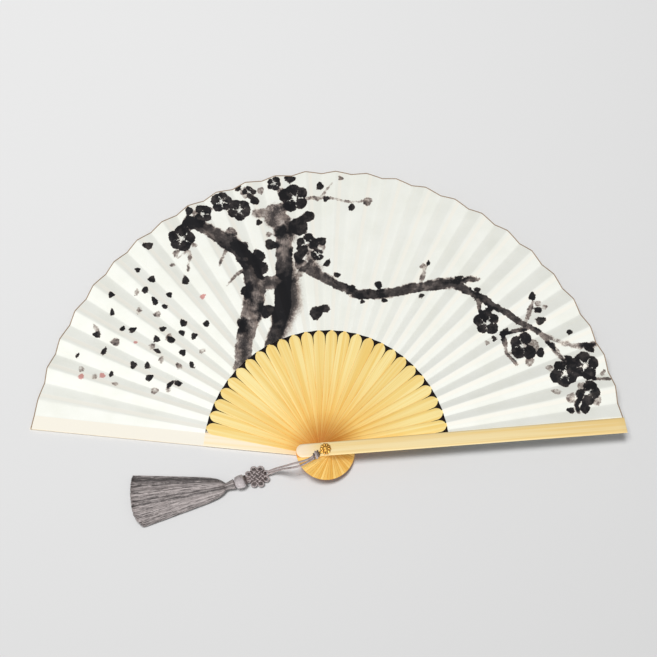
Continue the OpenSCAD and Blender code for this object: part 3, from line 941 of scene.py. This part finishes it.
def blossom_fields(x, y):
    """How far inside the dark petals each point is, the same for a few paler petals,
    and how far it is from a blossom's open heart and from the slits beside it."""
    dark, pale, core = np.full(x.shape, -9.0), np.full(x.shape, -9.0), np.full(x.shape, 9.0)
    for index, (direction, radius, size, turned) in enumerate(BLOSSOMS):
        cx, cy = polar(radius, direction)[:2]
        distance = np.hypot(x - cx, y - cy)
        petals = []
        for i in range(5):
            a = math.radians(turned + 72 * i + 9 * math.sin(index * 1.7 + i))
            petal = size * (0.48 + 0.06 * math.sin(index * 2.1 + i * 1.7))
            reach = size * 0.52
            petals.append(petal - np.hypot(x - cx - reach * math.cos(a), y - cy - reach * math.sin(a)))
        petals = np.array(petals)
        faded = (index * 2) % 5
        if index % 3 == 1:
            pale = np.maximum(pale, petals[faded])
            petals[faded] = -9.0
        order = np.sort(petals, axis=0)
        slit = (order[-1] - order[-2]) * 0.8 + np.maximum(distance - size * 0.55, 0.0) - 0.35
        heart = distance - size * 0.17
        core = np.minimum(core, np.where(distance < size * 1.2, np.minimum(heart, slit), 9.0))
        dark = np.maximum(dark, np.maximum(order[-1], size * 0.4 - distance))
    return dark, pale, core


def drifting_petals(rows, columns):
    """Petals drifting across the left of the leaf, on a grid that has lost its order."""
    petals = []
    for i in range(rows):
        for j in range(columns):
            radius = 172 + 24 * i + rng.uniform(-11, 11)
            direction = 135 + 29 * (j + 0.5 * (i % 2)) / columns + rng.uniform(-2.0, 2.0)
            size = rng.uniform(5.6, 10.6), rng.uniform(4.4, 6.8)
            petals.append((direction, radius, *size, rng.uniform(0, 180)))
    return petals


PETALS = drifting_petals(5, 9)
RED_PETALS = [(128.6, 206, 6.4, 4.6, 30), (161.4, 243, 7.4, 6.0, 110), (163.2, 262, 6.6, 5.4, 60),
              (150.5, 226, 5.0, 3.6, 10)]


def paint(leaf, x, y):
    """Keeps the painting on the leaf as fields, one for each kind of stroke."""
    wash, along, across, tone = capsule_fields(x, y, BOUGHS)
    petals, pale_petals, core = blossom_fields(x, y)
    dabs = dab_field(x, y, DABS + PETALS[::3] + PETALS[1::3])
    faint = dab_field(x, y, FAINT_DABS + PETALS[2::3])
    twigs = capsule_fields(x, y, TWIGS)[0]
    fields = {
        "ink_wash": wash,
        "ink_bleed": capsule_fields(x, y, BLEEDS)[0],
        "ink_dark": np.maximum(dabs, petals),
        "ink_pale": np.maximum.reduce([pale_petals, faint, twigs]),
        # The dabs are painted over the blossoms' slits.
        "core": np.where(dabs > petals, 9.0, core),
        "ink_red": dab_field(x, y, RED_PETALS),
        "stroke": np.column_stack([along * MM, across * MM, tone])}
    for name, values in fields.items():
        store(leaf, name, values)


# ---------------------------------------------------------------- leaf

FRONT_ROWS = 120


def add_leaf():
    """The pleated paper, one closed thin sheet: a fine painted face and a back
    with half as many rows."""
    parts = np.linspace(0, 1, FRONT_ROWS + 1)
    dirs, zs, rs = pleat_surface(lambda out: LEAF_IN + parts * (LEAF_OUT + out - LEAF_IN))
    off = slip_offsets(dirs, rs)
    top = polar(rs, dirs, zs + LEAF_T)
    # The paper swells a little where neither a slip nor a guard holds it.
    free = np.array([1 < fold < len(FOLDS) - 2 for fold, _ in COLUMNS])
    loose = smooth_step((np.abs(off) - 2.2) / 3.0) * free * smooth_step((LEAF_OUT - rs) / 16)
    swell = 0.28 * waves(top[..., 0], top[..., 1], 3) * loose * smooth_step((rs - LEAF_IN) / 60)
    top[..., 2] += swell
    under = polar(rs, dirs, zs + swell)[::2]
    points = np.vstack([top.reshape(-1, 3), under.reshape(-1, 3)])

    columns = len(COLUMNS)
    ids = np.arange(len(points)).reshape(-1, columns)
    top_ids, under_ids = ids[:len(top)], ids[len(top):]
    faces = turned_over(grid_faces(len(top), columns))
    front_count = len(faces)
    faces += grid_faces(len(under), columns, top_ids.size)
    for column, step in ((0, 1), (-1, -1)):
        t, u = top_ids[:, column], under_ids[:, column]
        faces += [[*t[2 * j:2 * j + 3], u[j + 1], u[j]][::step] for j in range(len(u) - 1)]
    for row, step in ((0, -1), (-1, 1)):
        t, u = top_ids[row], under_ids[row]
        faces += [[t[i], t[i + 1], u[i + 1], u[i]][::step] for i in range(columns - 1)]

    leaf = add_folding("leaf_paper", (points, faces), LEAF_FRONT, "leaf_paper", "leaf", 60)
    leaf.data.materials.append(LEAF_BACK)
    is_back = np.arange(len(faces)) >= front_count
    leaf.data.polygons.foreach_set("material_index", is_back.astype(np.int32))
    store(leaf, "slip_off", np.concatenate([off.ravel(), off[::2].ravel()]))
    store(leaf, "over_guard", np.tile([float(fold == 0) for fold, _ in COLUMNS], len(ids)))
    paint(leaf, points[:, 0], points[:, 1])
    return leaf


def add_rim():
    """The narrow binding that wraps the leaf's outer edge and follows the pleats."""
    dirs, zs, rs = pleat_surface(lambda out: LEAF_OUT + out + np.array([-0.7, 0.35]))
    low, high = -0.1, LEAF_T + 0.1
    corners = [polar(rs[i], dirs[i], zs[i] + h) for i, h in ((0, low), (1, low), (1, high), (0, high))]
    return add_folding("rim_paper", loft(np.stack(corners, axis=1)), RIM_PAPER, "rim_paper",
                       "rim_binding", 40)


def add_neck_band():
    """Dark paper behind the gaps between the rib tips, a sheet that stands in for the shade seen there:
    one flat wedge for a gap, bent down under the leaf's inner edge."""
    r_line = np.array([105.5, 112.0, 118.0, 121.3, 124.5])
    parts, shares = [], []
    for k in RIBS:
        next_share = rib_share(k + 1) if k < RIB_COUNT else 1.0
        rows = []
        for t in np.linspace(0, 1, 9):
            direction = rib_dir(k) - RIB_PITCH * t
            # Past the rib tips the paper dips under the leaf's valley.
            dip = (r_line > LEAF_IN) * (0.5 + 1.4 * bell(direction, rib_dir(k) - VALLEY_AFTER, 1.6))
            rows.append(polar(r_line, direction, rib_z(k) - 0.03 - dip))
            shares += [rib_share(k) + (next_share - rib_share(k)) * t] * (2 * len(r_line))
        top = np.array(rows)
        parts.append(loft(np.concatenate([top, (top - 0.09 * UP)[:, ::-1]], axis=1)))
    add_folding("neck_shade_paper", join(parts), NECK_SHADE_PAPER, "dark_paper", "neck_band", 40)


leaf = add_leaf()
rim = add_rim()
add_neck_band()

# ---------------------------------------------------------------- pin and hanger

def add_rosette():
    """A domed brass washer with petals pressed into it."""
    petals = 10
    a = around(120)
    wave = np.cos(petals * a)
    u = np.linspace(PIN_R / ROSETTE_R, 1, 17)[:, None]
    radius = ROSETTE_R * u * (1 + 0.05 * u**3 * (wave - 1))
    valley = (0.5 - 0.5 * wave) ** 3 * smooth_step((u - 0.45) / 0.2)
    ring = bell(u, 0.50, 0.06)
    pearls = bell(u, 0.86, 0.07) * (0.5 + 0.5 * np.cos(2 * petals * a)) / 2
    dome = 0.85 * ROSETTE_T * np.sqrt(1 - (u * 0.97) ** 2)
    z = ROSETTE_Z + 0.15 + np.maximum(dome + 0.25 * pearls - 0.30 * valley - 0.22 * ring, 0.0)
    rows = np.stack([radius * np.cos(a), radius * np.sin(a), z], axis=-1)
    groove = np.clip(0.95 * valley + 0.85 * ring, 0.0, 0.9)
    # The bore and the outer edge go straight down to the hanger.
    rows = np.pad(rows, ((1, 1), (0, 0), (0, 0)), mode="edge")
    rows[[0, -1], :, 2] = ROSETTE_Z
    part = loft(rows, closed=True)
    rosette = add_piece("rosette_brass", part, GILT, "brass", "back_stick", "rosette", 60)
    store(rosette, "groove", np.pad(groove, ((1, 1), (0, 0)), mode="edge").ravel())


def add_stud():
    """The riveted stud: a small dome cut with facets."""
    at = [-0.5, -0.5, 0.0, 0.35, 0.75, 1.05, 1.15]
    radius = [0.9, 2.55, 2.6, 2.35, 1.75, 0.95, 0.3]
    part = lathe(at, radius, 12, (ROSETTE_Z + ROSETTE_T) * UP, (1e-6, 0.0, 1.0))
    add_piece("stud_brass", part, GILT, "brass", "back_stick", "pin_stud", 12)


def add_hanger_ring():
    """The rounded rim of the hanger's eye."""
    x_half, y_half, _ = 2.15 * np.eye(3)
    route = oval(48, polar(EYE_AT, EYE_DIR, HANGER_Z + HANGER_T / 2), x_half, y_half)
    add_piece("hanger_ring", tube(route, 0.68, 14, closed=True), BRASS, "brass", "hanger_link")


def add_hitch():
    """The cord looped through the eye: three close turns that lie over its rim."""
    out = polar(1.0, EYE_DIR)
    side = np.cross(UP, out)
    foot_z = 23.6
    a = np.linspace(-0.12, 1.12, 30) * math.pi

    def add_turn(at, half, top_z, radius):
        route = (np.outer(at + 0.9 * np.cos(a), out) + np.outer(half * np.cos(a), side)
                 + np.outer(foot_z + (top_z - foot_z) * np.sin(a), UP))
        return tube(route, radius, 16, ply=(0.12, 0.04))

    # The two outer turns take a darker copy of the same cord, painted shade beside the lighter middle turn.
    outer = [add_turn(8.7, 2.7, 25.7, 0.95), add_turn(13.4, 2.5, 25.3, 0.9)]
    add_piece("hitch_cord", add_turn(11.0, 3.1, 26.3, 1.2), KNOT_SILK, "silk_cord", "pendant", "cord_hitch")
    add_piece("hitch_outer_turns", join(outer), SHADED_CORD_SILK, "silk_cord", "pendant")


add_rosette()
add_stud()
add_hanger_ring()
add_hitch()
for name in ("hanger", "pivot_pin"):
    frame["nodes"][name].data.materials.clear()
    frame["nodes"][name].data.materials.append(BRASS)

# ---------------------------------------------------------------- pendant

KNOT_AT = (-67.7, -25.4)
TASSEL_DIR = 198.3
KNOT_TURN = -15.0
KNOT_R = 11.6
BEAD_L = 12.4
BEAD_R = 6.4
PIECE_GAP = 0.3
BEAD_FROM = KNOT_R + PIECE_GAP
COLLAR_FROM = BEAD_FROM + BEAD_L + PIECE_GAP
COLLAR_L = 9.5
COLLAR_R = 3.8
SKIRT_FROM = COLLAR_FROM + COLLAR_L + 0.8
SKIRT_TURN = -8.7
SKIRT_L = 89.0
THREADS = 620


def tassel_frame(at, turned=0.0):
    """(start point, unit vector along, unit vector across) on the tassel's line."""
    start = np.array([*KNOT_AT, 0.0]) + polar(at, TASSEL_DIR)
    along = polar(1.0, TASSEL_DIR + turned)
    return start, along, np.cross(UP, along)


def woven_loop(index, crosswise):
    """One long loop of the knot as a closed route in the knot's own axes, which stand
    diagonally to the tassel. It runs over and under the loops that cross it and ends
    in a round ear on each side."""
    spread, half, reach, ear, lift = 3.6, 1.55, 6.2, 2.5, 0.85
    lanes = sorted(spread * i + s * half for i in (-1, 1) for s in (-1, 1))
    run = np.linspace(-reach, reach, 44)
    middle = spread * (2 * index - 1)

    def pass_over(side, lane):
        levels = [lift * (-1) ** (lane + j + crosswise) for j in range(4)]
        z = np.interp(run, [-reach, *lanes, reach], [0.0, *levels, 0.0])
        return np.column_stack([run, np.full(44, middle + side * half), z])

    limit = math.pi - math.asin(half / ear)
    bend = np.linspace(-limit, limit, 26)[1:-1]
    ear_at = reach - ear * math.cos(limit)
    right = np.column_stack([ear_at + ear * np.cos(bend), middle + ear * np.sin(bend), 0 * bend])
    left = np.array([0, 2 * middle, 0]) - right
    x, y, z = np.vstack([pass_over(-1, 2 * index), right, pass_over(1, 2 * index + 1)[::-1], left]).T
    u, v = (y, x) if crosswise else (x, y)
    return np.column_stack([(u + v) * 0.755, (u - v) * 0.635, z])


def add_knot():
    """A flat woven knot, turned a little on the cord: two long loops across two, with
    open ears all round, and the two leads that run on into the bead."""
    start, lead_along, lead_across = tassel_frame(0.0)
    _, along, across = tassel_frame(0.0, KNOT_TURN)
    centre = start + 0.7 * lead_along + 3.4 * UP
    axes = np.array([along, across, UP])
    parts = [tube(centre + woven_loop(index, crosswise) @ axes, 0.84, 14, closed=True, ply=(0.25, 0.06))
             for crosswise in (0, 1) for index in (0, 1)]
    for side in (-0.9, 0.9):
        lead = [start + lead_along * a + lead_across * side * b + UP * c for a, b, c in
                ((7.5, 1.6, 3.3), (9.5, 1.3, 4.2), (11.5, 1.0, 5.4), (13.0, 0.8, 6.2))]
        parts.append(tube(smooth_route(lead, 5), 0.9, 12, ply=(0.25, 0.08)))
    add_piece("knot_cord", join(parts), KNOT_SILK, "silk_cord", "pendant", "knot")
    # A dark core under the weave: painted shade in the gaps between the loops and inside the ears.
    rings = [oval(40, centre + level * UP, 9.8 * part * along, 8.6 * part * across)
             for part, level in ((0.90, -0.75), (1.0, -0.3), (1.0, 0.3), (0.90, 0.75))]
    add_piece("knot_shade_core", loft(rings), DARK_SILK, "silk_cord", "pendant")


def add_bead():
    """A barrel bead wound with thread from end to end, fuller towards the knot, with
    a dark ring at the end where the knot's leads go in and a small one at the collar."""
    start, along, _ = tassel_frame(BEAD_FROM)
    axis = start + (BEAD_R + 0.5) * UP
    t = np.linspace(0.12, 0.98, 40)
    barrel = (BEAD_R + 0.2) * np.sqrt(1 - ((t - 0.42) / 0.88) ** 2)
    ends = np.minimum(1.0, np.minimum(t - 0.10, 1 - t) / 0.14) ** 0.3
    part = lathe(t * BEAD_L, barrel * ends, 192, axis, along,
                 lambda s, a: 1 + 0.008 * np.abs(np.sin(24 * a + s * 0.10)))
    add_piece("bead_silk", part, BEAD_SILK, "silk_cord", "pendant", "bead")
    side = np.cross(along, UP)
    lips = [tube(oval(48, axis + along * at, lip_r * side, lip_r * UP), thick, 12, True, (0.3, 0.1))
            for at, lip_r, thick in ((0.9, 3.9, 1.25), (BEAD_L - 0.3, 3.0, 0.8))]
    add_piece("bead_lips", join(lips), DARK_SILK, "silk_cord", "pendant")


def add_collar():
    """The bound neck of the tassel: satin threads drawn together, with a few close
    turns where the skirt begins."""
    start, along, _ = tassel_frame(COLLAR_FROM)
    threads, bound_from = 36, 0.78
    t = np.linspace(0, 1, 90)
    body = COLLAR_R + 0.9 - 1.2 * smooth_step(t / 0.8)
    rolls = 0.30 * bell(t, 0.94, 0.05) + 0.15 * bell(t, 0.05, 0.05)
    rolls = rolls + 0.10 * np.abs(np.sin(t * 46)) * (t > bound_from)
    part = lathe(t * COLLAR_L, body + rolls, 4 * threads, start + (COLLAR_R + 1.2) * UP, along,
                 lambda s, a: 1 + 0.03 * np.abs(np.sin(18 * a + s * 0.06)) * (s < bound_from * COLLAR_L))
    collar = add_piece("collar_silk", part, TASSEL_SILK, "silk_cord", "pendant", "collar", 70)
    tones = np.repeat(rng.uniform(0.1, 0.95, threads), 4)
    store(collar, "tone", np.resize(tones, len(part[0])))


def skirt_point(axes, s, v, layer):
    """Points of the skirt: s along it, v from -1 to 1 across, and layer from 0 under
    to 1 on top. It is round where it is tied and flattens as it spreads."""
    start, along, across = axes
    tied = 1 - smooth_step(s / 13.0)
    angle = v * math.pi / 2
    crest = 8.25 + 0.9 * smooth_step(s / 16.0) - 0.032 * s
    arch = np.sqrt(np.maximum(1 - (np.abs(v) * 0.985) ** 2.4, 0.0))
    z = (0.35 + crest * (0.10 + 0.90 * layer * arch)) * (1 - tied)
    z = z + (4.4 + (layer * 2 - 1) * (3.6 + 0.20 * s) * np.cos(angle)) * tied
    half = 3.4 + 5.8 * (1 - np.exp(-s / 6.0)) + 0.19 * s
    y = half * (v * (1 - tied) + np.sin(angle) * tied)
    return start + np.outer(s, along) + np.outer(y, across) + np.outer(np.maximum(z, 0.4), UP)


def add_skirt():
    """The tassel's skirt: a dark core, painted shade for the gaps between threads, and threads laid over it
    that spread and wave.
    """
    axes = tassel_frame(SKIRT_FROM - 1.2, SKIRT_TURN)
    v = np.linspace(-0.97, 0.97, 23)
    rings = [np.vstack([skirt_point(axes, s + 0 * v, v, 0.88), skirt_point(axes, s + 0 * v, v[::-1], 0.0)])
             for s in np.linspace(0.2, SKIRT_L * 0.945, 44)]
    add_piece("skirt_shade_core", loft(rings, flip=True), TASSEL_SHADE_CORE, "tassel_silk", "pendant")

    parts, tones = [], []
    steps = np.linspace(0, 1, 27)
    for i in range(THREADS):
        v0 = -0.985 + 1.97 * ((i * 0.6180339887) % 1.0)
        layer = 0.90 + rng.uniform(-0.03, 0.13)
        reach = SKIRT_L * 1.07 - 4.5 * v0**2 - 6.0 * max(0.0, v0) ** 4 - rng.exponential(1.0)
        s = steps * reach
        wander = rng.uniform(-0.07, 0.07) * steps**1.5
        crimp = rng.uniform(0.3, 1.0) * 0.018 * np.sin(s / rng.uniform(1.9, 3.6) + rng.uniform(0, 6.3))
        v = np.clip(v0 + wander + crimp * np.minimum(s / 14, 1.0), -1, 1)
        route = skirt_point(axes, s, v, layer)
        route[:, 2] += 0.3 * np.sin(s / rng.uniform(2.2, 5.0) + rng.uniform(0, 6.3)) * steps
        route[:, 2] = np.maximum(route[:, 2], 0.45)
        parts.append(tube(route, rng.uniform(0.27, 0.52) * (1 - 0.25 * steps), 5))
        # Painted shade: threads near the skirt's long edges are darkened, one edge much more than the
        # other.
        shaded_edge = 0.85 * bell(v0, -0.82, 0.11) + 0.3 * smooth_step((v0 - 0.88) / 0.1)
        tones.append(np.clip(rng.normal(0.52, 0.31) - shaded_edge, 0.0, 1.0))
    threads = add_piece("skirt_threads", join(parts), TASSEL_SILK, "tassel_silk", "pendant", "tassel_skirt")
    store(threads, "tone", np.repeat(tones, 5 * len(steps)))


add_knot()
add_bead()
add_collar()
add_skirt()

# ---------------------------------------------------------------- stage and light

def add_floor():
    material = new_material("floor", Base_Color=rgb(226, 226, 226), Roughness=0.9)
    corners = [(-3000, -3000, 0), (3000, -3000, 0), (3000, 3000, 0), (-3000, 3000, 0)]
    floor = add_mesh("floor", (corners, [[0, 1, 2, 3]]), material)
    return floor


def add_area_light(name, location_m, size_m, watts):
    data = bpy.data.lights.new(name, "AREA")
    data.size = size_m
    data.energy = watts
    lamp = bpy.data.objects.new(name, data)
    lamp.location = location_m
    aim = Vector((0.0, 0.13, 0.0)) - Vector(location_m)
    lamp.rotation_euler = aim.to_track_quat("-Z", "Y").to_euler()
    bpy.context.scene.collection.objects.link(lamp)
    return lamp


def light_group(name, objects, state):
    """A collection for a lamp, of the only objects it takes (INCLUDE) or of the ones
    it passes over (EXCLUDE)."""
    group = bpy.data.collections.new(name)
    for obj in objects:
        group.objects.link(obj)
    for entry in group.collection_objects:
        entry.light_linking.link_state = state
    return group


def light_scene(floor):
    """Soft light from above, with a low lamp in front of the fan that brings out
    its pleats. The low lamp leaves the floor alone, and only the paper blocks it, so
    no long shadows lie over the sticks or the floor."""
    world = bpy.data.worlds.new("studio")
    bpy.context.scene.world = world
    world.use_nodes = True
    background = world.node_tree.nodes["Background"]
    background.inputs["Color"].default_value = WHITE
    background.inputs["Strength"].default_value = 0.27
    add_area_light("key", (-0.8, 0.5, 2.6), 0.7, 26.0)
    low = add_area_light("raking", (-0.05, -3.1, 2.3), 0.8, 106.0)
    low.light_linking.receiver_collection = light_group("not_floor", [floor], "EXCLUDE")
    low.light_linking.blocker_collection = light_group("only_paper", [leaf, rim], "INCLUDE")
    wash = add_area_light("floor_wash", (-0.4, 1.0, 3.3), 0.8, 52.0)
    wash.light_linking.receiver_collection = light_group("only_floor", [floor], "INCLUDE")
    bpy.context.scene.view_settings.view_transform = "Standard"


light_scene(add_floor())
